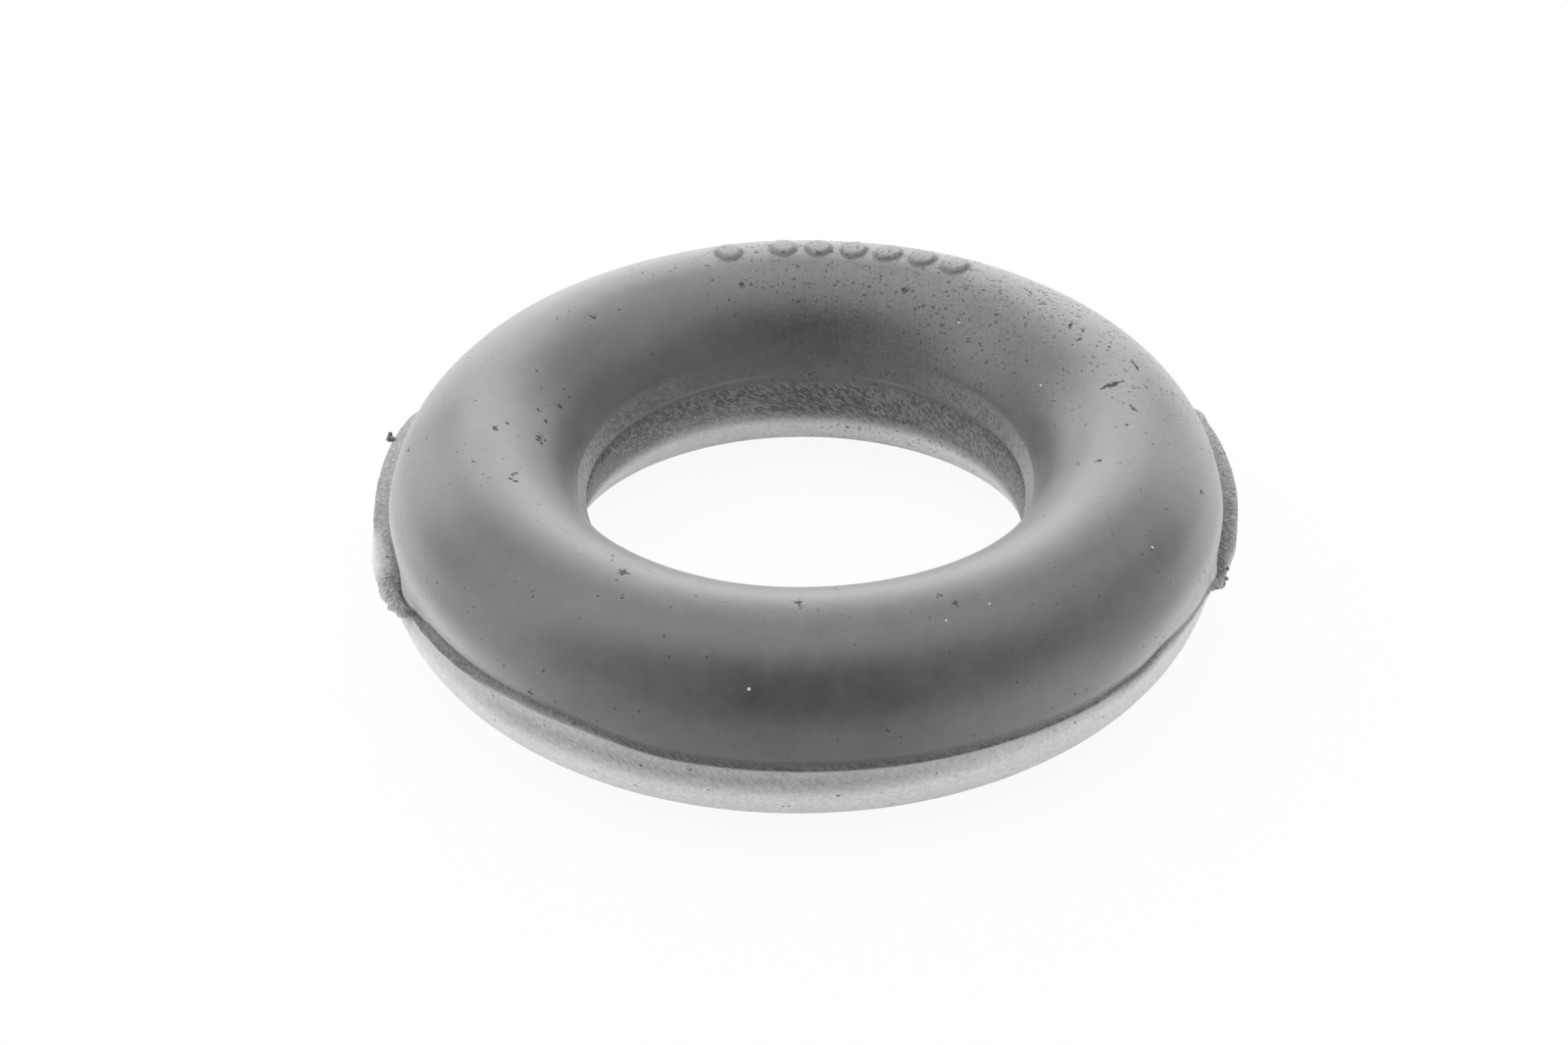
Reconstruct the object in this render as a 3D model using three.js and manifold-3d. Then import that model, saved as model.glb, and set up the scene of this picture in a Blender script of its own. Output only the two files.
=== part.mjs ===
// Exhaust hanger rubber: one closed ring of solid rubber, moulded in one piece.
// Millimetres, +Z up. The origin is on the ground under the middle of the hole, and the
// front of the ring faces -Y.

import * as THREE from 'three';
import { mergeVertices } from 'three/addons/utils/BufferGeometryUtils.js';
import Module from 'manifold-3d';

// The section of the ring
const OUTSIDE_DIAMETER = 62;
const HOLE_DIAMETER = 32.7;
const CROWN_HEIGHT = 8.3; // from the outer parting line up to the crown
const BELLY_DEPTH = 7.2; // from the outer parting line down to the ground
const OUTER_FULLNESS = 2.2; // roundness of the outer side: 2 is an ellipse, more is squarer
const INNER_FULLNESS = 1.95; // roundness of the side towards the hole
const LAND_WIDTH = 1.8; // flat ring that the rubber rests on

// The mould's two halves don't quite meet: each one sits this far off centre along X and Y
const HALF_SHIFT = 0.2;

// The parting line in the hole lies higher than the outer one and ends in a smooth lip
const LIP_LINE_HEIGHT = 1.7;
const LIP_RISE = 1.0;

// The thin fin that the mould leaves round the outer parting line
const FIN_REACH = 0.3;
const FIN_THICKNESS = 0.4;

// The two crescents of flash that were left on, in degrees counter-clockwise from +X
const TAB_REACH = 1.3;
const TAB_THICKNESS = 0.9;
const TAB_TAPER = 4; // each end runs out into the body over this angle
const RIGHT_TAB_FRONT = -22;
const RIGHT_TAB_BACK = 22;
const LEFT_TAB_BACK = 157;
const LEFT_TAB_FRONT = 204;

// A torn nib at one corner of each tab
const NIB_DIAMETER = 1.1;

// Raised pips on the back of the crown: a row, and one that stands apart
const PIP_WIDTH = 2.0;
const PIP_LENGTH = 2.8;
const PIP_HEIGHT = 0.35;
const PIP_COUNT = 6;
const PIP_PITCH = 6.5;
const PIP_ROW_START = 61.3;
const LONE_PIP_ANGLE = 103.9;
const PIP_TILT = 8; // how far down the outer side from the top of the crown

// Fineness of the facets
const ROUND_STEPS = 96;
const QUARTER_STEPS = 10;

const outerRadius = OUTSIDE_DIAMETER / 2;
const holeRadius = HOLE_DIAMETER / 2;
const middleRadius = (outerRadius + holeRadius) / 2;
const halfWidth = (outerRadius - holeRadius) / 2;
const rootRadius = middleRadius + halfWidth / 2; // where the fin and tabs start, inside the rubber
const seamOverlap = BELLY_DEPTH / 8; // how far the halves reach into each other

const wasm = await Module();
wasm.setup();

function solidFrom(geometry) {
  const bare = geometry.clone();
  bare.deleteAttribute('normal');
  bare.deleteAttribute('uv');
  const merged = mergeVertices(bare);
  return new wasm.Manifold(
    new wasm.Mesh({
      numProp: 3,
      vertProperties: new Float32Array(merged.attributes.position.array),
      triVerts: new Uint32Array(merged.index.array),
    }),
  );
}

function geometryFrom(solid) {
  const mesh = solid.getMesh();
  const geometry = new THREE.BufferGeometry();
  geometry.setAttribute('position', new THREE.BufferAttribute(mesh.vertProperties, 3));
  geometry.setIndex(new THREE.BufferAttribute(mesh.triVerts, 1));
  geometry.computeVertexNormals();
  return geometry;
}

// One quarter of the rounded section, as [distance from its middle, height] pairs, from its
// flat tip down to its widest point.
function quarter(fullness, height, flat) {
  const share = flat / 2 / halfWidth;
  const fullHeight = height / (1 - share ** fullness) ** (1 / fullness);
  const tipAngle = Math.acos(share ** (fullness / 2));
  return Array.from({ length: QUARTER_STEPS + 1 }, (_, step) => {
    const angle = tipAngle * (1 - step / QUARTER_STEPS);
    return [
      halfWidth * Math.cos(angle) ** (2 / fullness),
      fullHeight * Math.sin(angle) ** (2 / fullness),
    ];
  });
}

// Turns a closed outline of [radius, height] pairs into a ring round the Z axis.
function turned(outline) {
  const points = outline.map(([radius, height]) => new THREE.Vector2(radius, height));
  points.push(points[0].clone());
  return new THREE.LatheGeometry(points, ROUND_STEPS).rotateX(Math.PI / 2);
}

// The smooth upper half: outer side, crown, then down the hole to the lip.
function upperHalf() {
  const outside = quarter(OUTER_FULLNESS, CROWN_HEIGHT, 0).reverse();
  const inside = quarter(INNER_FULLNESS, CROWN_HEIGHT, 0).slice(1);
  const aboveLip = inside.filter(([, height]) => height > LIP_LINE_HEIGHT + LIP_RISE);
  const outline = [
    ...outside.map(([across, height]) => [middleRadius + across, height]),
    ...aboveLip.map(([across, height]) => [middleRadius - across, height]),
    [holeRadius, LIP_LINE_HEIGHT],
    [middleRadius, -seamOverlap],
  ];
  return turned(outline).translate(HALF_SHIFT, HALF_SHIFT, BELLY_DEPTH);
}

// The lower half, which stands on a narrow flat land.
function lowerHalf() {
  const outside = quarter(OUTER_FULLNESS, BELLY_DEPTH, LAND_WIDTH);
  const inside = quarter(INNER_FULLNESS, BELLY_DEPTH, LAND_WIDTH).reverse();
  const outline = [
    ...outside.map(([across, depth]) => [middleRadius + across, -depth]),
    [middleRadius, seamOverlap + LIP_LINE_HEIGHT / 2],
    [holeRadius, LIP_LINE_HEIGHT],
    ...inside.map(([across, depth]) => [middleRadius - across, -depth]),
  ];
  return turned(outline).translate(-HALF_SHIFT, -HALF_SHIFT, BELLY_DEPTH);
}

// The fin follows the lower half's edge all the way round.
function outerFin() {
  const outline = [
    [rootRadius, -FIN_THICKNESS / 2],
    [outerRadius + FIN_REACH, -FIN_THICKNESS / 2],
    [outerRadius + FIN_REACH, FIN_THICKNESS / 2],
    [rootRadius, FIN_THICKNESS / 2],
  ];
  return turned(outline).translate(-HALF_SHIFT, -HALF_SHIFT, BELLY_DEPTH);
}

// A flat crescent between two angles, with ends that run out into the body.
function flashTab(startDegrees, endDegrees) {
  const start = THREE.MathUtils.degToRad(startDegrees);
  const end = THREE.MathUtils.degToRad(endDegrees);
  const taper = THREE.MathUtils.degToRad(TAB_TAPER);
  const outline = new THREE.Shape();
  outline.absarc(0, 0, outerRadius + TAB_REACH, start + taper, end - taper, false);
  outline.absarc(0, 0, rootRadius, end + taper, start - taper, true);
  outline.closePath();
  return new THREE.ExtrudeGeometry(outline, {
    depth: TAB_THICKNESS,
    bevelEnabled: false,
    curveSegments: ROUND_STEPS / 8,
  }).translate(0, 0, BELLY_DEPTH - TAB_THICKNESS / 2);
}

// A torn crumb of rubber on the rim of a tab.
function tornNib(degrees) {
  const angle = THREE.MathUtils.degToRad(degrees);
  const radius = outerRadius + TAB_REACH - NIB_DIAMETER / 4;
  return new THREE.SphereGeometry(NIB_DIAMETER / 2, 10, 6).translate(
    radius * Math.cos(angle),
    radius * Math.sin(angle),
    BELLY_DEPTH,
  );
}

// A low oval pip, set square to the crown's outer side.
function raisedPip(degrees) {
  const tilt = THREE.MathUtils.degToRad(PIP_TILT);
  const across = Math.sin(tilt) ** (2 / OUTER_FULLNESS);
  const up = Math.cos(tilt) ** (2 / OUTER_FULLNESS);
  const lean = Math.atan2(
    across ** (OUTER_FULLNESS - 1) / halfWidth,
    up ** (OUTER_FULLNESS - 1) / CROWN_HEIGHT,
  );
  return new THREE.SphereGeometry(1, 14, 8)
    .scale(PIP_LENGTH / 2, PIP_WIDTH / 2, PIP_HEIGHT)
    .rotateY(lean)
    .translate(middleRadius + halfWidth * across, 0, CROWN_HEIGHT * up)
    .rotateZ(THREE.MathUtils.degToRad(degrees))
    .translate(HALF_SHIFT, HALF_SHIFT, BELLY_DEPTH);
}

const pipAngles = Array.from({ length: PIP_COUNT }, (_, index) => PIP_ROW_START + index * PIP_PITCH);
pipAngles.push(LONE_PIP_ANGLE);

const joined = [
  lowerHalf(),
  outerFin(),
  flashTab(RIGHT_TAB_FRONT, RIGHT_TAB_BACK),
  flashTab(LEFT_TAB_BACK, LEFT_TAB_FRONT),
  tornNib(LEFT_TAB_BACK + TAB_TAPER),
  tornNib(RIGHT_TAB_FRONT + TAB_TAPER),
  ...pipAngles.map(raisedPip),
].reduce((solid, geometry) => solid.add(solidFrom(geometry)), solidFrom(upperHalf()));

const rubber = new THREE.MeshStandardMaterial({ color: 0x5c5c5c, roughness: 0.5, metalness: 0 });
const hangerRing = new THREE.Mesh(geometryFrom(joined), rubber);
hangerRing.name = 'hanger_ring';

const hanger = new THREE.Group();
hanger.add(hangerRing);

export default hanger;
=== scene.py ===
import math

import bmesh
import bpy
from mathutils import Matrix, Vector, noise


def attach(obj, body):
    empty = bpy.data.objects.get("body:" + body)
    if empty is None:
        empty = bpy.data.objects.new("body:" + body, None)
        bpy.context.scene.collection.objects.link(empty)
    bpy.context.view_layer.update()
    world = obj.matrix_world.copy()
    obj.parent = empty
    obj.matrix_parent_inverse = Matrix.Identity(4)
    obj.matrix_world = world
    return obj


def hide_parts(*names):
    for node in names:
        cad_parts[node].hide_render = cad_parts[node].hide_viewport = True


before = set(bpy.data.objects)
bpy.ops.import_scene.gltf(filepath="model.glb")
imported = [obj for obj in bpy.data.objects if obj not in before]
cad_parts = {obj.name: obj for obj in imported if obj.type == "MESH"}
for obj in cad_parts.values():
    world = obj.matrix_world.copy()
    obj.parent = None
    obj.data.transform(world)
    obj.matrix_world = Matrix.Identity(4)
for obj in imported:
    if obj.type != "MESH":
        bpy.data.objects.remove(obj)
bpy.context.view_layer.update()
MM = 0.001

# Viewpoint: a long lens a little above the ring, looking down on it from the front.
# The lens was measured from the ring's parting plane, so the camera is hung off its middle.
PARTING_HEIGHT = 7.2
HALF_SHIFT = 0.2
PHOTO_SIZE = (1600, 1066)
RING_CENTRE_PIXEL = (822.3, 520.2)
LENS_PIXELS = 3765.6
VIEW_DISTANCE = 275.6
VIEW_ELEVATION = math.radians(34.12)
VIEW_ROLL = math.radians(0.40)

lens = bpy.data.cameras.new("lens")
lens.sensor_width = 36.0
lens.lens = LENS_PIXELS / PHOTO_SIZE[0] * lens.sensor_width
lens.clip_start = 0.01
lens.clip_end = 20.0
camera = bpy.data.objects.new("camera", lens)
bpy.context.scene.collection.objects.link(camera)
bpy.context.scene.camera = camera
ring_centre = Vector((HALF_SHIFT, HALF_SHIFT, PARTING_HEIGHT)) * MM
towards_eye = Vector((0.0, -math.cos(VIEW_ELEVATION), math.sin(VIEW_ELEVATION)))
turn_right = math.atan((PHOTO_SIZE[0] / 2 - RING_CENTRE_PIXEL[0]) / LENS_PIXELS)
turn_down = math.atan((PHOTO_SIZE[1] / 2 - RING_CENTRE_PIXEL[1]) / LENS_PIXELS)
camera.matrix_world = (
    Matrix.Translation(ring_centre + towards_eye * VIEW_DISTANCE * MM)
    @ towards_eye.to_track_quat("Z", "Y").to_matrix().to_4x4()
    @ Matrix.Rotation(-turn_right, 4, "Y")
    @ Matrix.Rotation(-turn_down, 4, "X")
    @ Matrix.Rotation(-VIEW_ROLL, 4, "Z")
)


# The ring: solid rubber pressed in one shot between an upper and a lower half and a core.
# The upper half came out smooth, the lower one grainy. Its section is drawn here as rows of
# points, in millimetres from the outer parting line, and spun round once.
OUTSIDE_RADIUS = 31.0
HOLE_RADIUS = 16.35
CROWN_HEIGHT = 8.3
BELLY_DEPTH = 7.2
OUTER_FULLNESS = 2.2
INNER_FULLNESS = 1.95
LAND_WIDTH = 1.8
LIP_TOP = (16.90, 2.71)
LIP_EDGE = (16.33, 1.71)
RING_STEPS = 540
CROWN_STEPS = 26
BELLY_STEPS = 14

middle_radius = (OUTSIDE_RADIUS + HOLE_RADIUS) / 2
half_width = (OUTSIDE_RADIUS - HOLE_RADIUS) / 2


def quarter(fullness, height, steps, flat=0.0):
    share = flat / 2 / half_width
    full_height = height / (1 - share**fullness) ** (1 / fullness)
    tip = math.acos(share ** (fullness / 2))
    angles = [tip * (1 - step / steps) for step in range(steps + 1)]
    return [
        (
            half_width * math.cos(angle) ** (2 / fullness),
            full_height * max(0.0, math.sin(angle)) ** (2 / fullness),
        )
        for angle in angles
    ]


# The flash rows stand one millimetre out and one down, and get their true shape further on.
UPPER, FLASH, LOWER = 1, 2, 3
section = []
for share in (1.0, 0.92, 0.8, 0.6, 0.4, 0.2, 0.08, 0.0):
    section.append((OUTSIDE_RADIUS + share, 0.0, FLASH))
for across, height in reversed(quarter(OUTER_FULLNESS, CROWN_HEIGHT, CROWN_STEPS)[:-1]):
    section.append((middle_radius + across, height, UPPER))
for across, height in quarter(INNER_FULLNESS, CROWN_HEIGHT, CROWN_STEPS)[1:]:
    if height > LIP_TOP[1] + 0.2:
        section.append((middle_radius - across, height, UPPER))
for share in (0.0, 0.12, 0.35, 0.65, 0.88, 1.0):
    radius = LIP_TOP[0] + (LIP_EDGE[0] - LIP_TOP[0]) * share
    section.append((radius, LIP_TOP[1] + (LIP_EDGE[1] - LIP_TOP[1]) * share, UPPER))
for height in (1.6, 1.42, 1.2, 0.95, 0.65, 0.3):
    section.append((HOLE_RADIUS, height, LOWER))
for across, depth in reversed(quarter(INNER_FULLNESS, BELLY_DEPTH, BELLY_STEPS, LAND_WIDTH)):
    section.append((middle_radius - across, -depth, LOWER))
section.append((middle_radius, -BELLY_DEPTH, LOWER))
for across, depth in quarter(OUTER_FULLNESS, BELLY_DEPTH, BELLY_STEPS, LAND_WIDTH)[:-1]:
    section.append((middle_radius + across, -depth, LOWER))
for share in (0.0, 0.4, 0.8, 1.0):
    section.append((OUTSIDE_RADIUS + share, -1.0, FLASH))
for down in (0.7, 0.3):
    section.append((OUTSIDE_RADIUS + 1.0, -down, FLASH))

ring_mesh = bmesh.new()
made_by = ring_mesh.verts.layers.float.new("made_by")
profile = []
for radius, height, maker in section:
    vert = ring_mesh.verts.new((radius, 0.0, height))
    vert[made_by] = maker
    profile.append(vert)
for first, second in zip(profile, profile[1:] + profile[:1]):
    ring_mesh.edges.new((first, second))
bmesh.ops.spin(
    ring_mesh,
    geom=ring_mesh.verts[:] + ring_mesh.edges[:],
    cent=(0, 0, 0),
    axis=(0, 0, 1),
    angle=math.tau,
    steps=RING_STEPS,
    use_merge=True,
    use_duplicate=False,
)
bmesh.ops.remove_doubles(ring_mesh, verts=ring_mesh.verts, dist=0.0001)


def azimuth_of(point):
    return math.degrees(math.atan2(point.y, point.x)) % 360


# How far round the section a point lies: 0 on top of the crown, 90 at the outer parting line.
def tilt_of(point):
    across = math.hypot(point.x, point.y) - middle_radius
    return math.degrees(math.atan2(across / half_width, point.z / CROWN_HEIGHT))


# Raised pips on the back of the crown, and the pits that the rubber shows: azimuth, tilt and
# size. A gash runs from point to point. The mesh is made finer within reach of each of them,
# and at the torn corners of the flash.
PIP_REACH = 1.9
PIT_REACH_IN_SIZES = 1.8
GASH_REACH = 0.6
PIP_WIDTH = 2.0
PIP_LENGTH = 2.8
PIP_HEIGHT = 0.32
PIP_TILT = 8.0
pip_azimuths = [61.3 + 6.5 * place for place in range(6)] + [103.9]
PITS = (
    (165.3, -41.0, 0.26), (181.4, -34.9, 0.48), (183.1, -7.9, 0.26), (180.8, 47.7, 0.22),
    (180.7, -14.5, 0.15), (137.7, -14.6, 0.22), (103.7, -23.0, 0.16), (68.0, -23.1, 0.16),
    (237.5, -1.6, 0.34), (268.6, -1.0, 0.24), (291.9, 7.1, 0.26), (293.5, 14.5, 0.20),
    (232.1, 82.0, 0.24), (199.0, -11.0, 0.15), (200.3, -8.6, 0.17), (201.4, -10.6, 0.15),
    (198.4, -13.6, 0.13), (173.6, -36.5, 0.20), (171.5, -30.0, 0.13), (11.5, 62.0, 0.22),
    (347.3, 48.6, 0.20), (15.8, 84.0, 0.26), (356.2, -1.0, 0.13), (344.6, -13.2, 0.15),
    (29.0, 4.5, 0.20), (26.8, -2.4, 0.14), (40.5, 4.9, 0.14), (22.5, 9.0, 0.15),
)
GASHES = (
    ((9.4, -11.9, 0.06), (9.7, -9.0, 0.09), (10.1, -6.8, 0.13), (9.9, -4.6, 0.22),
     (10.2, -1.8, 0.17), (10.7, 3.2, 0.06)),
    ((18.0, 17.1, 0.05), (16.6, 16.2, 0.07), (15.1, 17.0, 0.11), (14.3, 16.4, 0.05)),
    ((2.8, 2.4, 0.05), (1.6, 4.0, 0.10), (0.8, 5.8, 0.05)),
    ((31.0, -1.2, 0.06), (31.6, 0.8, 0.11), (32.2, 3.0, 0.06)),
)
TORN_CORNERS = ((184, 209), (337, 346))
crown_spots = [(azimuth, PIP_TILT, PIP_REACH) for azimuth in pip_azimuths]
crown_spots += [(azimuth, tilt, size * PIT_REACH_IN_SIZES) for azimuth, tilt, size in PITS]
crown_spots += [(azimuth, tilt, GASH_REACH) for gash in GASHES for azimuth, tilt, size in gash]


# The shorter way round from one azimuth to another.
def turn_from(start, azimuth):
    return (azimuth - start + 180) % 360 - 180


def gap_on_crown(point, azimuth, tilt):
    around = turn_from(azimuth, azimuth_of(point))
    arc_around = math.radians(around) * math.hypot(point.x, point.y)
    arc_over = math.radians(tilt_of(point) - tilt) * (half_width + CROWN_HEIGHT) / 2
    return arc_around, arc_over


finer = set()
for face in ring_mesh.faces:
    middle = face.calc_center_median()
    makers = {round(vert[made_by]) for vert in face.verts}
    if makers == {UPPER}:
        for azimuth, tilt, reach in crown_spots:
            if math.hypot(*gap_on_crown(middle, azimuth, tilt)) < reach:
                finer.update(face.edges)
                break
    elif makers == {FLASH} and any(start < azimuth_of(middle) < end for start, end in TORN_CORNERS):
        finer.update(face.edges)
bmesh.ops.subdivide_edges(ring_mesh, edges=list(finer), cuts=4, use_grid_fill=True)


def ease(value):
    value = min(1.0, max(0.0, value))
    return value * value * (3 - 2 * value)


def between(low, high, share):
    return low + (high - low) * share


# How much of a feature there is at an azimuth, from start to end, with a run-in at each.
def stretch(azimuth, start, end, start_run, end_run):
    along = (azimuth - start) % 360
    span = (end - start) % 360
    if along > span:
        return 0.0
    return ease(along / start_run) * ease((span - along) / end_run)


# A smooth curve through an outline's points, and nothing outside it.
def follow(outline, azimuth):
    ends = [outline[0], *outline, outline[-1]]
    for before, start, end, after in zip(ends, ends[1:], ends[2:], ends[3:]):
        if start[0] <= azimuth <= end[0]:
            run = end[0] - start[0]
            along = (azimuth - start[0]) / run
            start_slope = (end[1] - before[1]) / (end[0] - before[0]) * run
            end_slope = (after[1] - start[1]) / (after[0] - start[0]) * run
            bend = start_slope * along * (1 - along) ** 2 - end_slope * along**2 * (1 - along)
            return between(start[1], end[1], ease(along)) + bend
    return 0.0


def wander(azimuth, pace, seed):
    angle = math.radians(azimuth)
    return noise.noise(Vector((math.cos(angle) * pace, math.sin(angle) * pace, seed)))


# The flash that the halves left at the outer parting line. A crescent stayed on at each side:
# azimuth, and how far it stands out past the body. The left one's outer wall leans out at its
# torn front end, and beside both the body is pinched in a little.
LEFT_CRESCENT = (
    (152, 0.0), (156, 1.8), (160.5, 1.95), (165, 1.78), (173, 1.38), (180.5, 1.08), (186, 1.12),
    (190.5, 1.3), (195, 1.36), (199.5, 1.38), (203, 1.15), (206, 0.0),
)
LEFT_LEAN = ((183, 0.0), (186, 0.28), (190.5, 0.6), (195, 0.68), (199, 0.8), (202, 0.7), (205, 0.0))
LEFT_PINCH = (
    (150, 0.0), (158, 0.22), (180, 0.25), (186, 0.65), (190, 1.05), (193, 1.15), (195.5, 0.8),
    (198, 0.15), (201, -0.2), (206, 0.0),
)
RIGHT_CRESCENT = (
    (339.5, 0.0), (341.2, 0.72), (343, 0.62), (346.5, 0.6), (351, 0.85), (356, 0.94), (362, 1.18),
    (368, 1.38), (374, 1.64), (379, 1.78), (383, 1.9), (386, 0.0),
)
RIGHT_PINCH = (
    (339.2, 0.0), (342, -0.3), (346, 0.3), (350, 0.6), (355, 0.42), (360, 0.25), (380, 0.25), (388, 0.0),
)


# The fin's reach past the body, its level and half its thickness, and how far a crescent rises.
# The lower half's edge lies a little inside the fin's and a little below it.
FIN_REACH = 0.12
FIN_LEVEL = 0.15
FIN_HALF_THICKNESS = 0.1
CRESCENT_RISE = 0.28
SEAM_INSET = 0.04
SEAM_DROP = 0.08


def flash_at(azimuth):
    turned = (azimuth + 180) % 360 + 180
    crescent = max(0.0, follow(LEFT_CRESCENT, azimuth), follow(RIGHT_CRESCENT, turned))
    on_crescent = ease(crescent / 0.6)
    left_front = stretch(azimuth, 203, 252, 4, 18)
    front = stretch(azimuth, 238, 326, 16, 8)
    right_ledge = stretch(azimuth, 307, 335, 9, 14)
    ragged = 0.05 * wander(azimuth, 30, 2.0) + 0.03 * wander(azimuth, 90, 5.0)
    body = OUTSIDE_RADIUS + FIN_REACH + 0.34 * left_front - 0.06 * front + 0.1 * right_ledge
    body += ragged * (0.25 + left_front) - 0.08 * stretch(azimuth, 326, 340, 5, 2)
    level = FIN_LEVEL + 0.12 * left_front - 0.6 * front + 0.05 * right_ledge
    below = between(0.25, 0.62, ease((turned - 341) / 8))
    root = OUTSIDE_RADIUS - 0.2 * left_front - 0.2 * right_ledge
    root -= follow(LEFT_PINCH, azimuth) + follow(RIGHT_PINCH, turned)
    root_top = level + FIN_HALF_THICKNESS + 0.24 * left_front + 0.06 * right_ledge + on_crescent * 0.3
    root_top -= 0.45 * stretch(azimuth, 197, 210, 4, 3)
    return {
        "body": body,
        "rim": body + crescent + 0.03 * on_crescent * wander(azimuth, 50, 4.0),
        "top": level + on_crescent * CRESCENT_RISE,
        "bottom": level - FIN_HALF_THICKNESS - on_crescent * below,
        "lean": max(0.0, follow(LEFT_LEAN, azimuth)),
        "root": root,
        "root_top": root_top,
        "crescent": on_crescent,
        "left_front": left_front,
        "right_ledge": right_ledge,
        "right_foot": stretch(azimuth, 322, 343, 8, 3),
        "painted_rim_highlight": stretch(azimuth, 218, 334, 12, 8),
        "torn_shade": stretch(azimuth, 192, 206, 6, 1),
        "torn": 0.45 * stretch(azimuth, 190, 205, 9, 0.6) + stretch(azimuth, 339.4, 345, 0.6, 3),
        "painted_crease_shade": stretch(azimuth, 185, 206, 5, 5) + stretch(azimuth, 340, 356, 3, 6),
        "pits": [pit for pit in PITS if abs(turn_from(pit[0], azimuth)) < 5],
        "gashes": [gash for gash in GASHES if abs(turn_from(gash[0][0], azimuth)) < 9],
    }


# How pale the smooth half is painted, by which way it faces and how far round the section it lies:
# painted light and shade, darker in a band low on the front and on the inner slope at the back, and
# lighter on the slope at the front and near the outer parting line. The two last terms are a painted
# sheen along the outer edge at the back and sides.
def crown_painted_grey(facing, tilt):
    back = 0.06 + 0.13 * ease((tilt + 32) / 40) + 0.12 * ease((tilt - 5) / 22)
    back += 0.04 * ease((-50 - tilt) / 15) + 0.05 * ease((tilt - 8) / 15)
    side = 0.05 + 0.17 * ease((tilt + 54) / 24)
    front = 0.06 + 0.17 * ease((22 - tilt) / 32)
    front += between(0.07, 0.01, ease((facing - 0.75) / 0.25)) * ease((tilt - 40) / 30)
    grey = between(back, side, ease((facing + 0.45) / 0.45))
    grey = between(grey, front, ease((facing - 0.2) / 0.45))
    grey += 0.45 * ease((tilt - 64) / 24) * ease((0.85 - facing) / 0.35)
    return grey + 0.2 * ease((tilt - 70) / 16) * ease((0.42 - facing) / 0.35)


# The smooth half runs on down the hole like this where the lip fades out at the back.
def plain_hole(height):
    rise = (height / CROWN_HEIGHT) ** INNER_FULLNESS
    return middle_radius - half_width * (1 - rise) ** (1 / INNER_FULLNESS)


# Each shaper takes a point of the spun ring and gives its radius, height and sideways shift,
# then its grain, its painted light, and its painted shade and stains. The first is the flash's, which is
# chipped at its torn ends.
CHIP_DEPTH = 0.34
CHIP_RISE = 0.3
RIM_ROUNDING = 0.05


def shape_flash(point, azimuth, flash):
    angle = math.radians(azimuth)
    share = min(1.0, max(0.0, math.hypot(point.x, point.y) - OUTSIDE_RADIUS))
    down = min(1.0, max(0.0, -point.z))
    radius = between(
        between(flash["root"], flash["rim"] - flash["lean"], share),
        between(flash["body"] - SEAM_INSET, flash["rim"], share),
        down,
    )
    top = between(flash["root_top"], flash["top"], ease(share * 1.6))
    height = between(
        top - RIM_ROUNDING * ease((share - 0.85) / 0.15),
        flash["bottom"] - SEAM_DROP * (1 - share),
        down,
    )
    where = Vector((radius * math.cos(angle), radius * math.sin(angle), height))
    chips = noise.noise(where * 1.7) + 0.7 * noise.noise(where * 4.2)
    radius += flash["torn"] * chips * CHIP_DEPTH * share * between(0.35, 1.0, down)
    ripple = noise.noise(where * 2.6 + Vector((0, 5, 0)))
    height += flash["torn"] * ripple * CHIP_RISE * share * (0.3 + down)
    # The flash's paleness is painted light and shade: lighter on the crescents, ledges and right foot on
    # the side the light falls on, a painted highlight along the rim's top edge and the right crescent's
    # outer edge, painted floor light on the outer wall and the leaning torn wall, and painted shade at
    # the torn end.
    painted_light = 0.03 + flash["crescent"] * (0.17 - 0.09 * math.cos(angle) + 0.3 * math.sin(angle))
    painted_light += 0.1 * flash["left_front"] + 0.2 * flash["right_ledge"] + 0.3 * flash["right_foot"]
    painted_light += 0.3 * flash["crescent"] * max(0.0, math.cos(angle)) * share**4
    painted_light = between(between(painted_light, 0.95, flash["painted_rim_highlight"] * share**2), 0.65, down)
    painted_light += min(0.3, flash["lean"]) * ease(share * 2 - 1 + down)
    painted_light *= 1 - between(0.75, 0.35, down) * flash["torn_shade"]
    # Painted shade in the creases at the crescents' corners and on the ledges beside the body, darkest
    # next to the body; the torn flash also gets dark stains in patches.
    shade_and_stain = (1 - down) * (
        0.15 * flash["left_front"] * (1 - flash["crescent"] * 0.5) * (1 - share) ** 0.5
        + 0.7 * flash["painted_crease_shade"] * (1 - share) ** 3
        + 0.3 * flash["right_ledge"] * (1 - share) ** 3
    )
    shade_and_stain += 0.6 * flash["torn"] * ease((noise.noise(where * 3.4) - 0.05) / 0.3)
    rough = max(down, 0.6 + 0.4 * flash["crescent"])
    return radius, height, HALF_SHIFT, rough, painted_light, shade_and_stain


# The skin of the rubber isn't quite true: it waves in and out by this much.
SKIN_WAVE = 0.05


def wave_at(point):
    return SKIN_WAVE * noise.noise(point * 0.12 + Vector((3.0, 0.0, 9.0)))


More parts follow.
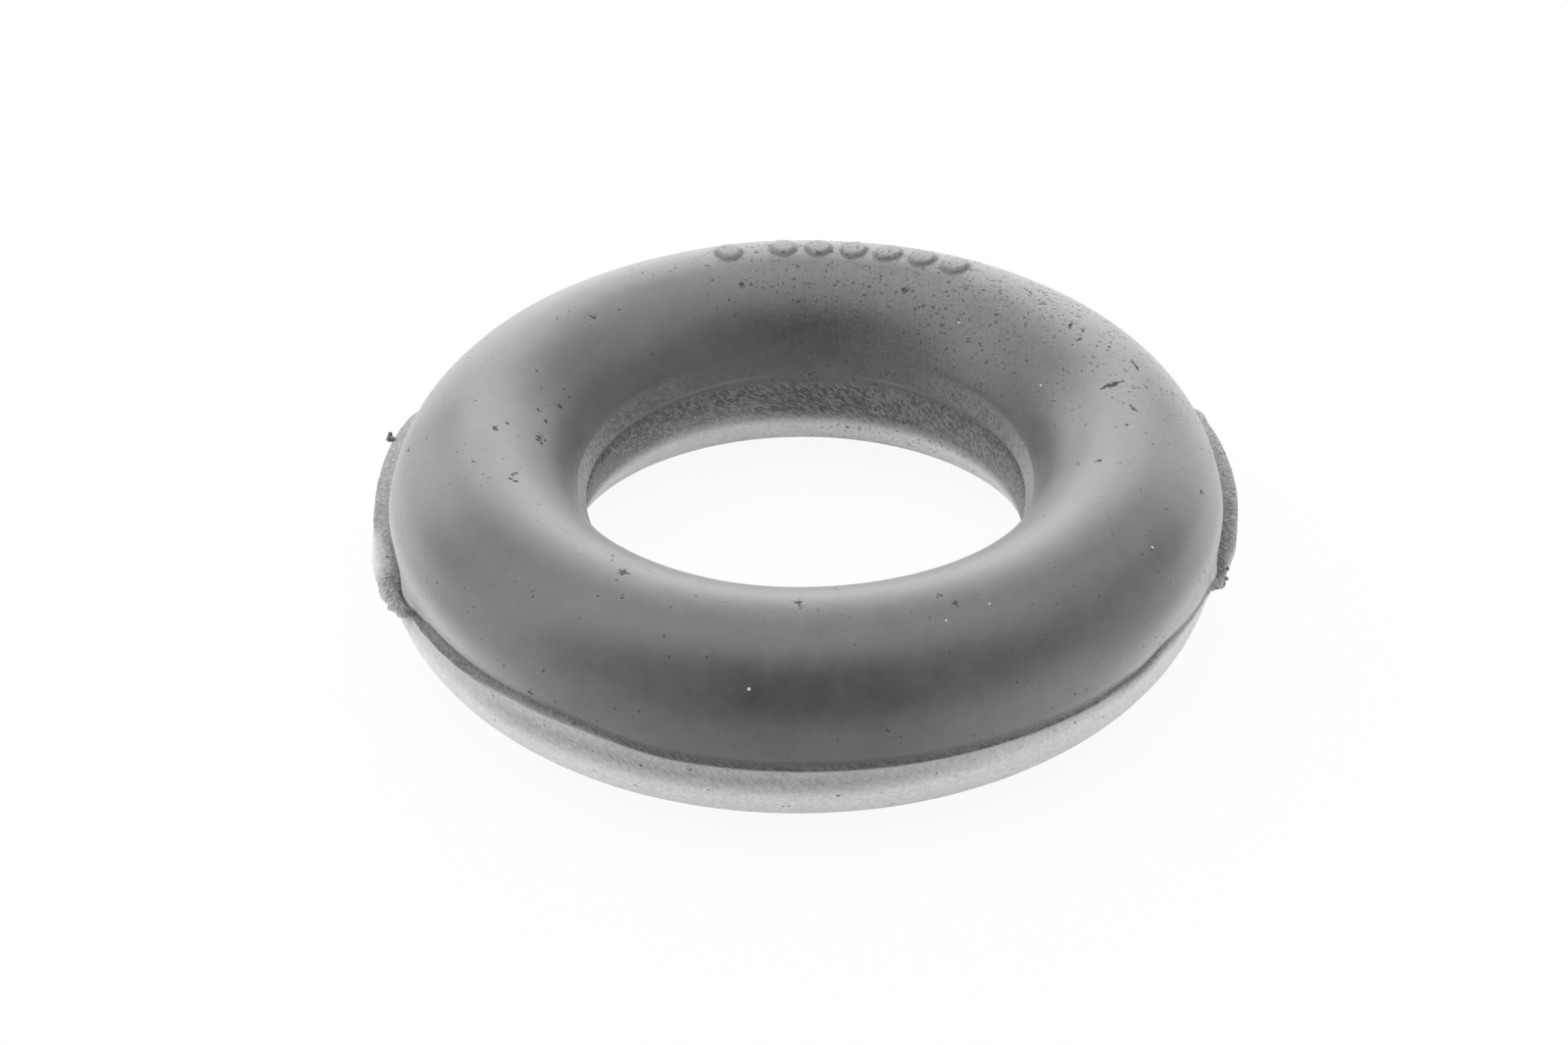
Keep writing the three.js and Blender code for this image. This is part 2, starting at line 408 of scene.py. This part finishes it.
# The rough half outside. Its upper edge reaches out to the fin. Its paleness is painted light: lighter
# towards the foot, where light from the floor is painted, and just under the fin, lighter at the right
# and left sides, and less at the back.
def shape_lower_outside(point, azimuth, flash):
    angle = math.radians(azimuth)
    height = point.z
    lower_gap = 2 * HALF_SHIFT * math.sqrt(2) * math.cos(angle - math.radians(225))
    near = max(0.0, 1 + height / 1.8)
    painted_light = 0.43 + 0.57 * ease((-height - 0.9) / 2.2) + 0.22 * ease(1 + height / 0.9)
    painted_light += 0.95 * max(0.0, math.cos(angle) - 0.1) + 0.35 * ease((-math.cos(angle) - 0.6) / 0.25)
    painted_light *= 1 - 0.7 * ease((0.1 + math.sin(angle)) / 0.6)
    radius = math.hypot(point.x, point.y)
    radius += (flash["body"] - SEAM_INSET - lower_gap - OUTSIDE_RADIUS) * near * near
    height += (flash["bottom"] - SEAM_DROP) * max(0.0, 1 + height / 4) ** 2
    return radius, height, -HALF_SHIFT, 1.0, painted_light, 0.0


# The rough half in the hole, with a fold under the lip that is deepest at both sides. Its paleness is
# painted light that grows towards the floor, and the fold is darkened with painted shade.
FOLD_DEPTH = 0.27


def shape_lower_hole(point, azimuth):
    height = point.z
    radius = math.hypot(point.x, point.y)
    side = math.cos(math.radians(azimuth)) ** 2
    fold = ease(1 - abs(height - 1.2) / 0.6) * side
    painted_light = 0.03 + 0.1 * side * ease(-height) + 0.97 * ease((-height - 1.6 + 0.4 * side) / 1.7)
    painted_light += 0.15 * stretch(azimuth, 92, 138, 15, 12) * ease(-height)
    if height > 0:
        radius = between(plain_hole(height), radius, side)
    rough = ease((between(1.3, 2.0, side) - height) / 0.8)
    painted_light += 0.17 * (1 - rough)
    radius += FOLD_DEPTH * fold
    shift = between(-HALF_SHIFT, HALF_SHIFT, ease((height + 2.5) / 4))
    return radius, height, shift, rough, painted_light, 0.6 * fold


def shape_lower(point, azimuth, flash):
    if math.hypot(point.x, point.y) > middle_radius:
        shaped = shape_lower_outside(point, azimuth, flash)
    else:
        shaped = shape_lower_hole(point, azimuth)
    radius, height, *finish = shaped
    if height > 0.2 - BELLY_DEPTH:
        radius += math.copysign(wave_at(point), radius - middle_radius)
    return radius, height, *finish


def raise_pips(point, lift, shade_and_stain):
    for pip in pip_azimuths:
        around, over = gap_on_crown(point, pip, PIP_TILT)
        edge = math.hypot(around / (PIP_WIDTH / 2), over / (PIP_LENGTH / 2))
        if edge < 1.3:
            edge += 0.12 * noise.noise(point * 1.3)
            lift += PIP_HEIGHT * ease((1.2 - edge) / 0.5)
            # A ring of painted shade round the pip's foot.
            shade_and_stain = max(shade_and_stain, 0.5 * ease(1 - abs(edge - 1.05) / 0.25))
    return lift, shade_and_stain


PIT_DEPTH = 0.04
GASH_DEPTH = 0.05


def sink_pits(point, pits, lift, shade_and_stain):
    for pit, pit_tilt, size in pits:
        around, over = gap_on_crown(point, pit, pit_tilt)
        if math.hypot(around, over) < 2 * size:
            spread = 1.1 - math.hypot(around, over * 1.3) / size
            spread += 1.5 * noise.noise(Vector((around, over, pit)) * 6.0)
            depth = ease(spread / 0.5)
            lift -= PIT_DEPTH * depth
            # The pit is darkened with painted shade.
            shade_and_stain = max(shade_and_stain, depth)
    return lift, shade_and_stain


def open_gashes(point, gashes, lift, shade_and_stain):
    for gash in gashes:
        for start, end in zip(gash, gash[1:]):
            near_end = Vector(gap_on_crown(point, *start[:2]))
            far_end = Vector(gap_on_crown(point, *end[:2]))
            run = far_end - near_end
            along = min(1.0, max(0.0, -near_end.dot(run) / run.length_squared))
            size = between(start[2], end[2], along) * (1 + 1.1 * noise.noise(point * 5.0))
            depth = ease((1.4 - (near_end + run * along).length / size) / 0.7)
            lift -= GASH_DEPTH * depth
            # The gash is darkened with painted shade.
            shade_and_stain = max(shade_and_stain, depth)
    return lift, shade_and_stain


# The smooth half: the crown with its marks, its edge at the fin, and the lip in the hole. Its paleness
# is painted light and shade, and its foot beside the fin's creases and ledge is darkened with painted
# shade.
def shape_crown(point, azimuth, flash):
    angle = math.radians(azimuth)
    tilt = tilt_of(point)
    facing = -math.sin(angle)
    radius = math.hypot(point.x, point.y)
    height = point.z
    near = max(0.0, 1 - height / 1.8) if radius > middle_radius else 0.0
    # The crown's paleness is painted light and shade: the grey by facing and tilt, dimmed in bands on
    # the sides and the back, and lighter low on the front and front right and on the outer slope at the
    # back right.
    painted_light = (crown_painted_grey(facing, tilt) - 0.02) / 0.4
    dimmed = stretch(azimuth, 168, 222, 12, 14) + stretch(azimuth, 326, 352, 8, 10)
    painted_light -= 0.1 * dimmed * ease((tilt - 5) / 20) * ease((60 - tilt) / 12)
    painted_light -= 0.08 * stretch(azimuth, 55, 105, 12, 12) * ease(1 - abs(tilt + 7) / 12)
    painted_light += 0.1 * stretch(azimuth, 278, 318, 14, 12) * ease((tilt - 50) / 30)
    right_back = ease((0.3 - facing) / 0.4) * ease((math.cos(angle) - 0.3) / 0.5)
    painted_light += 0.15 * right_back * ease((tilt - 20) / 25)
    rough = (0.35 * flash["crescent"] + 0.5 * stretch(azimuth, 290, 345, 20, 4)) * near**3
    if radius < LIP_TOP[0] + 0.01:
        side = math.cos(angle) ** 2
        radius = between(plain_hole(height), radius, side)
        rough = 0.8 * side
        # The lip in the hole gets painted light right at its two sides.
        painted_light = painted_light * (1 - 0.85 * side) + 0.35 * side**8
    # Painted shade at the foot of the crown beside the fin's creases and the left front ledge.
    shade_and_stain = 0.5 * flash["painted_crease_shade"] * near**8 + 0.08 * flash["left_front"] * near**4
    lift, shade_and_stain = raise_pips(point, wave_at(point), shade_and_stain)
    lift, shade_and_stain = sink_pits(point, flash["pits"], lift, shade_and_stain)
    lift, shade_and_stain = open_gashes(point, flash["gashes"], lift, shade_and_stain)
    radius += lift * math.sin(math.radians(tilt)) - (OUTSIDE_RADIUS - flash["root"]) * near * near
    height += lift * math.cos(math.radians(tilt))
    if radius > middle_radius:
        height += flash["root_top"] * max(0.0, 1 - height / 4) ** 2
    return radius, height, HALF_SHIFT, rough, painted_light, shade_and_stain


grain = ring_mesh.verts.layers.float.new("grain")
painted_light_and_dust = ring_mesh.verts.layers.float.new("painted_light_and_dust")
painted_shade_and_stain = ring_mesh.verts.layers.float.new("painted_shade_and_stain")
shapers = {UPPER: shape_crown, FLASH: shape_flash, LOWER: shape_lower}
flash_round = {}
for vert in ring_mesh.verts:
    azimuth = round(azimuth_of(vert.co), 3)
    flash = flash_round.get(azimuth) or flash_at(azimuth)
    flash_round[azimuth] = flash
    shape = shapers[round(vert[made_by])]
    radius, height, shift, rough, painted_light, shade_and_stain = shape(vert.co, azimuth, flash)
    angle = math.radians(azimuth)
    vert.co = Vector((radius * math.cos(angle) + shift, radius * math.sin(angle) + shift, height))
    vert.co.z += PARTING_HEIGHT
    vert[grain] = rough
    vert[painted_light_and_dust] = painted_light
    vert[painted_shade_and_stain] = shade_and_stain
bmesh.ops.recalc_face_normals(ring_mesh, faces=ring_mesh.faces)

# Crumbs of rubber that tore with the flash and still hang at two corners of the crescents, and
# grains of pale dust that stuck to the crown: azimuth, radius, height, size and how pale.
CRUMBS = (
    (163.4, 33.30, 0.40, 0.25, 0.1), (162.8, 33.38, 0.60, 0.18, 0.1), (163.4, 33.05, 0.42, 0.22, 0.1),
    (344.4, 31.78, 0.35, 0.14, 0.1), (342.3, 31.93, 0.30, 0.15, 0.1), (341.2, 31.84, 0.20, 0.14, 0.1),
    (52.5, 19.53, 6.80, 0.10, 1.0), (21.3, 19.06, 6.42, 0.09, 1.0), (328.6, 28.50, 6.62, 0.11, 1.0),
    (262.4, 29.55, 5.30, 0.11, 1.0), (290.8, 26.70, 7.72, 0.08, 1.0), (298.3, 26.35, 7.85, 0.08, 1.0),
)
for azimuth, radius, height, size, paleness in CRUMBS:
    angle = math.radians(azimuth)
    middle = Vector((radius * math.cos(angle) + HALF_SHIFT, radius * math.sin(angle) + HALF_SHIFT, 0.0))
    middle.z = PARTING_HEIGHT + height
    made = bmesh.ops.create_icosphere(ring_mesh, subdivisions=3, radius=size)
    for vert in made["verts"]:
        vert.co = middle + vert.co * (1 + 0.5 * noise.noise(vert.co * 1.6 / size + middle))
        vert[grain] = 1.0
        vert[painted_light_and_dust] = paleness
        vert[painted_shade_and_stain] = 0.0

bmesh.ops.scale(ring_mesh, vec=(MM, MM, MM), verts=ring_mesh.verts)
ring_data = bpy.data.meshes.new("ring")
ring_mesh.to_mesh(ring_data)
ring_mesh.free()
for polygon in ring_data.polygons:
    polygon.use_smooth = True
ring = bpy.data.objects.new("ring", ring_data)
bpy.context.scene.collection.objects.link(ring)
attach(ring, "root")
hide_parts("hanger_ring")


# The rubber itself: neutral grey and satin on the smooth half, and an open grain on the rough half. The
# smooth half's grey carries painted light and shade; the rough half turns to a painted pale grey where
# light is painted on it, which is also the grey of the dust grains; and painted shade and stains darken
# both to the last grey.
# Each pair of greys runs from the darkest to the palest.
SMOOTH_GREYS = ((0.02, 0.02, 0.0202), (0.42, 0.42, 0.422))
GRAIN_GREYS = ((0.012, 0.012, 0.012), (0.2, 0.2, 0.2))
LIGHT_AND_DUST_GREYS = ((0.77, 0.77, 0.77), (0.93, 0.93, 0.93))
SHADE_AND_STAIN_GREY = (0.016, 0.016, 0.016)

rubber = bpy.data.materials.new("rubber")
rubber.use_nodes = True
tree = rubber.node_tree
shader = tree.nodes["Principled BSDF"]
shader.inputs["IOR"].default_value = 1.53
shader.inputs["Specular IOR Level"].default_value = 1.0
shader.inputs["Sheen Weight"].default_value = 0.4
shader.inputs["Sheen Roughness"].default_value = 0.5


def node(kind, **settings):
    made = tree.nodes.new(kind)
    for name, value in settings.items():
        setattr(made, name, value)
    return made


def feed(socket, value):
    if isinstance(value, bpy.types.NodeSocket):
        tree.links.new(value, socket)
    elif isinstance(value, tuple):
        socket.default_value = (*value, 1.0)
    else:
        socket.default_value = value


def blend(factor, first, second):
    made = node("ShaderNodeMix", data_type="RGBA", clamp_factor=True)
    for place_in_node, value in ((0, factor), (6, first), (7, second)):
        feed(made.inputs[place_in_node], value)
    return made.outputs[2]


def figure(operation, *values):
    made = node("ShaderNodeMath", operation=operation)
    for socket, value in zip(made.inputs, values):
        feed(socket, value)
    return made.outputs[0]


def cloud(where, scale, detail=2.0, roughness=0.5, distortion=0.0):
    made = node("ShaderNodeTexNoise")
    feed(made.inputs["Vector"], where)
    feed(made.inputs["Scale"], scale)
    feed(made.inputs["Detail"], detail)
    feed(made.inputs["Roughness"], roughness)
    feed(made.inputs["Distortion"], distortion)
    return made.outputs["Fac"]


def window(value, low, high):
    made = node("ShaderNodeMapRange", clamp=True, interpolation_type="SMOOTHSTEP")
    feed(made.inputs["Value"], value)
    feed(made.inputs["From Min"], low)
    feed(made.inputs["From Max"], high)
    return made.outputs["Result"]


in_millimetres = node("ShaderNodeVectorMath", operation="SCALE")
feed(in_millimetres.inputs[0], node("ShaderNodeTexCoord").outputs["Object"])
feed(in_millimetres.inputs["Scale"], 1000.0)
place = in_millimetres.outputs[0]
grainy = node("ShaderNodeAttribute", attribute_name="grain").outputs["Fac"]
light_and_dust = node("ShaderNodeAttribute", attribute_name="painted_light_and_dust").outputs["Fac"]
shaded_and_stained = node("ShaderNodeAttribute", attribute_name="painted_shade_and_stain").outputs["Fac"]

# The smooth half is uneven at three scales: clouds, patches of a millimetre or two, and flecks.
clouds = cloud(place, 0.16, 4.0, 0.55)
patches = cloud(place, 0.7, 3.0, 0.6)
fine = cloud(place, 5.5, 3.0, 0.65)

# The grain of the rough half lies slantwise: short dark strokes that run down to the right.
STROKE_SLANT = math.radians(-38)
STROKE_SHAPE = (0.5, 0.8, 1.35)
slant = node("ShaderNodeVectorRotate", rotation_type="Y_AXIS")
feed(slant.inputs["Vector"], place)
slant.inputs["Angle"].default_value = STROKE_SLANT
strokes = node("ShaderNodeVectorMath", operation="MULTIPLY")
feed(strokes.inputs[0], slant.outputs["Vector"])
strokes.inputs[1].default_value = STROKE_SHAPE
worms = cloud(strokes.outputs[0], 3.6, 3.0, 0.6, 0.5)
sand = cloud(place, 3.2, 4.0, 0.7)

# Dark specks, crowded on the right of the back and thinner elsewhere. Each lies in a cell of
# its own, and their outlines are pulled about so that none is round.
SPECK_CELLS_PER_MM = 2.8
SPECK_SHAPE = (0.85, 1.1, 1.0)
SPECK_PULL = (0.5, 0.5, 0.5)
BACK_RIGHT = (0.5, 0.88, 0.0)
pull = node("ShaderNodeTexNoise")
feed(pull.inputs["Vector"], place)
feed(pull.inputs["Scale"], 4.0)
uneven = node("ShaderNodeVectorMath", operation="MULTIPLY_ADD")
feed(uneven.inputs[0], pull.outputs["Color"])
uneven.inputs[1].default_value = SPECK_PULL
feed(uneven.inputs[2], place)
oval = node("ShaderNodeVectorMath", operation="MULTIPLY")
feed(oval.inputs[0], uneven.outputs[0])
oval.inputs[1].default_value = SPECK_SHAPE
cells = node("ShaderNodeTexVoronoi", feature="F1")
feed(cells.inputs["Vector"], oval.outputs[0])
feed(cells.inputs["Scale"], SPECK_CELLS_PER_MM)
split = node("ShaderNodeSeparateColor")
feed(split.inputs[0], cells.outputs["Color"])
towards_back_right = node("ShaderNodeVectorMath", operation="DOT_PRODUCT")
feed(towards_back_right.inputs[0], place)
towards_back_right.inputs[1].default_value = BACK_RIGHT
weathered = window(towards_back_right.outputs["Value"], 8.0, 29.0)
crowd = figure("MULTIPLY_ADD", weathered, 0.7, 0.035)
crowd = figure("MULTIPLY", crowd, figure("MULTIPLY_ADD", window(patches, 0.4, 0.62), 1.5, 0.35))
chosen = figure("GREATER_THAN", crowd, split.outputs[0])
speck_size = figure("MULTIPLY_ADD", split.outputs[1], 0.18, 0.2)
inside = figure("SUBTRACT", speck_size, cells.outputs["Distance"])
speck = figure("MULTIPLY", chosen, window(inside, 0.0, 0.06))

# Where less light is painted the smooth half is dark, and where more is painted it is pale and mottled.
cloudy = figure("ADD", clouds, patches)
uneven_painted_light = figure("MULTIPLY_ADD", cloudy, 0.14, figure("SUBTRACT", light_and_dust, 0.145))
flecks = figure("MULTIPLY", figure("SUBTRACT", fine, 0.45), figure("MULTIPLY_ADD", weathered, 0.8, 0.08))
mottle = figure("MULTIPLY", figure("SUBTRACT", sand, 0.5), figure("MULTIPLY", light_and_dust, 0.5))
uneven_painted_light = figure("ADD", figure("ADD", flecks, mottle), uneven_painted_light)
smooth_grey = blend(uneven_painted_light, *SMOOTH_GREYS)
rough_grey = blend(window(worms, 0.44, 0.58), *GRAIN_GREYS)
# The rough half's pale grey is painted light from the floor and sides, and the grey of the dust grains.
light_and_dust_grey = blend(window(sand, 0.4, 0.58), *LIGHT_AND_DUST_GREYS)
rubber_grey = blend(grainy, smooth_grey, blend(light_and_dust, rough_grey, light_and_dust_grey))
# Painted shade and stains from the mesh, with the dark specks, darken the grey.
shade_stain_and_specks = figure("MAXIMUM", shaded_and_stained, figure("MULTIPLY", speck, 0.85))
rubber_grey = blend(figure("MULTIPLY", shade_stain_and_specks, 0.95), rubber_grey, SHADE_AND_STAIN_GREY)
feed(shader.inputs["Base Color"], rubber_grey)
satin = figure("MULTIPLY_ADD", patches, 0.12, 0.35)
satin = figure("MULTIPLY_ADD", grainy, 0.15, satin)
feed(shader.inputs["Roughness"], figure("MULTIPLY_ADD", shade_stain_and_specks, 0.4, satin))
relief = blend(light_and_dust, figure("MULTIPLY", worms, 0.5), figure("MULTIPLY", sand, 0.15))
relief = figure("MULTIPLY_ADD", fine, 0.009, figure("MULTIPLY", relief, grainy))
bump = node("ShaderNodeBump")
feed(bump.inputs["Distance"], MM)
feed(bump.inputs["Strength"], 0.9)
feed(bump.inputs["Height"], figure("MULTIPLY_ADD", shade_stain_and_specks, -0.08, relief))
feed(shader.inputs["Normal"], bump.outputs["Normal"])
ring_data.materials.append(rubber)


# Ground: a plain white sheet that runs on past the view. The lens and the gloss see it as
# white paper, and the ring's soft shadow stays on it.
PAPER_GREY = (0.9, 0.9, 0.9)
PAPER_GLOW = 0.93
floor_mesh = bmesh.new()
bmesh.ops.create_grid(floor_mesh, x_segments=1, y_segments=1, size=3.0)
floor_data = bpy.data.meshes.new("floor")
floor_mesh.to_mesh(floor_data)
floor_mesh.free()
floor = bpy.data.objects.new("floor", floor_data)
bpy.context.scene.collection.objects.link(floor)
paper = bpy.data.materials.new("white_ground")
paper.use_nodes = True
tree = paper.node_tree
tree.nodes.clear()
paper_output = node("ShaderNodeOutputMaterial")
paper_mix = node("ShaderNodeMixShader")
paper_matt = node("ShaderNodeBsdfDiffuse")
paper_white = node("ShaderNodeEmission")
ray = node("ShaderNodeLightPath").outputs
seen = figure("MAXIMUM", ray["Is Camera Ray"], ray["Is Glossy Ray"])
seen = figure("MAXIMUM", seen, ray["Is Transmission Ray"])
feed(paper_matt.inputs["Color"], PAPER_GREY)
feed(paper_white.inputs["Strength"], 1.0)
feed(paper_mix.inputs[0], figure("MULTIPLY", seen, PAPER_GLOW))
feed(paper_mix.inputs[1], paper_matt.outputs[0])
feed(paper_mix.inputs[2], paper_white.outputs[0])
feed(paper_output.inputs["Surface"], paper_mix.outputs[0])
floor_data.materials.append(paper)


# Light: a white tent. Soft panels stand all round in two tiers, with one overhead and none
# at the camera's side. A tier is its elevation and its panels' size. The tent gives for each
# direction the low panel's strength, and the high one's.
LOW_TIER = (18, 0.6)
HIGH_TIER = (50, 0.7)
OVERHEAD = (0, 90, 0.8, 1.7)
TENT = (
    (0, 0.65, 1.15), (45, 0.85, 0.85), (90, 2.0, 0.65), (135, 1.2, 0.9),
    (180, 1.75, 1.6), (225, 0.5, 0.4), (315, 0.5, 0.45),
)
panels = [OVERHEAD]
for azimuth, low, high in TENT:
    panels += [(azimuth, *LOW_TIER, low), (azimuth, *HIGH_TIER, high)]
for azimuth, elevation, size, strength in panels:
    around, up = math.radians(azimuth), math.radians(elevation)
    outward = Vector((math.cos(around) * math.cos(up), math.sin(around) * math.cos(up), math.sin(up)))
    panel = bpy.data.lights.new("panel", "AREA")
    panel.shape = "SQUARE"
    panel.size = size
    panel.energy = math.pi * size * size * strength
    panel_stand = bpy.data.objects.new("panel", panel)
    panel_stand.location = outward + Vector((0, 0, PARTING_HEIGHT * MM))
    panel_stand.rotation_euler = outward.to_track_quat("Z", "Y").to_euler()
    bpy.context.scene.collection.objects.link(panel_stand)

ROOM_LIGHT = 0.02
world = bpy.data.worlds.new("room")
bpy.context.scene.world = world
world.use_nodes = True
background = world.node_tree.nodes["Background"]
feed(background.inputs["Color"], (1.0, 1.0, 1.0))
feed(background.inputs["Strength"], ROOM_LIGHT)

bpy.context.scene.view_settings.view_transform = "Standard"
